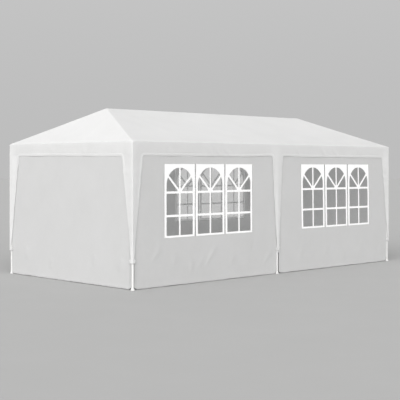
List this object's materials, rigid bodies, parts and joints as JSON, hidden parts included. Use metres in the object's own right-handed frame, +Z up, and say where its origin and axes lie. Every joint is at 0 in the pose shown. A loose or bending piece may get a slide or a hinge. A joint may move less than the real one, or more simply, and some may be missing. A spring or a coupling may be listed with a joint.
{
  "type": "marquee tent",
  "caption": "White rectangular party marquee: hipped sheet roof, valance running down the legs in tapered strips, plain end walls, arched-window side walls, steel tube frame.",
  "frame": {"origin": "on the ground, at the middle of the rectangular footprint", "axes": "+X along the long side, to the right when facing the front; -Y is the front long side, the one nearest the camera in the picture; +Z up"},
  "size_m": [6.012, 3.012, 2.5799],
  "materials": {
    "coated_steel": "satin white powder coat on round steel tube",
    "cover_sheet": "coated woven sheet, white, slightly glossy, lets some light through",
    "wall_sheet": "thin coated woven sheet, white, slightly glossy, lets some light through",
    "window_film": "clear soft plastic sheet with printed white arched window bars"
  },
  "bodies": {
    "root": {"leg_front_left": "coated_steel", "leg_front_middle": "coated_steel", "leg_front_right": "coated_steel", "leg_back_left": "coated_steel", "leg_back_middle": "coated_steel", "leg_back_right": "coated_steel", "corner_connector_front_left": "coated_steel", "corner_connector_front_right": "coated_steel", "corner_connector_back_left": "coated_steel", "corner_connector_back_right": "coated_steel", "eave_connector_front": "coated_steel", "eave_connector_back": "coated_steel", "ridge_connector_left": "coated_steel", "ridge_connector_middle": "coated_steel", "ridge_connector_right": "coated_steel", "eave_tube_front_left": "coated_steel", "eave_tube_front_right": "coated_steel", "eave_tube_back_left": "coated_steel", "eave_tube_back_right": "coated_steel", "eave_tube_left": "coated_steel", "eave_tube_right": "coated_steel", "hip_rafter_front_left": "coated_steel", "hip_rafter_front_right": "coated_steel", "hip_rafter_back_left": "coated_steel", "hip_rafter_back_right": "coated_steel", "middle_rafter_front": "coated_steel", "middle_rafter_back": "coated_steel", "ridge_tube_left": "coated_steel", "ridge_tube_right": "coated_steel", "roof_panel_front": "cover_sheet", "roof_panel_back": "cover_sheet", "roof_panel_left": "cover_sheet", "roof_panel_right": "cover_sheet", "valance_front": "cover_sheet", "valance_back": "cover_sheet", "valance_left": "cover_sheet", "valance_right": "cover_sheet", "window_wall_front_left": "wall_sheet", "window_wall_front_right": "wall_sheet", "window_wall_back_left": "wall_sheet", "window_wall_back_right": "wall_sheet", "end_wall_left": "wall_sheet", "end_wall_right": "wall_sheet", "window_film_front_left": "window_film", "window_film_front_right": "window_film", "window_film_back_left": "window_film", "window_film_back_right": "window_film"}
  },
  "joints": []
}
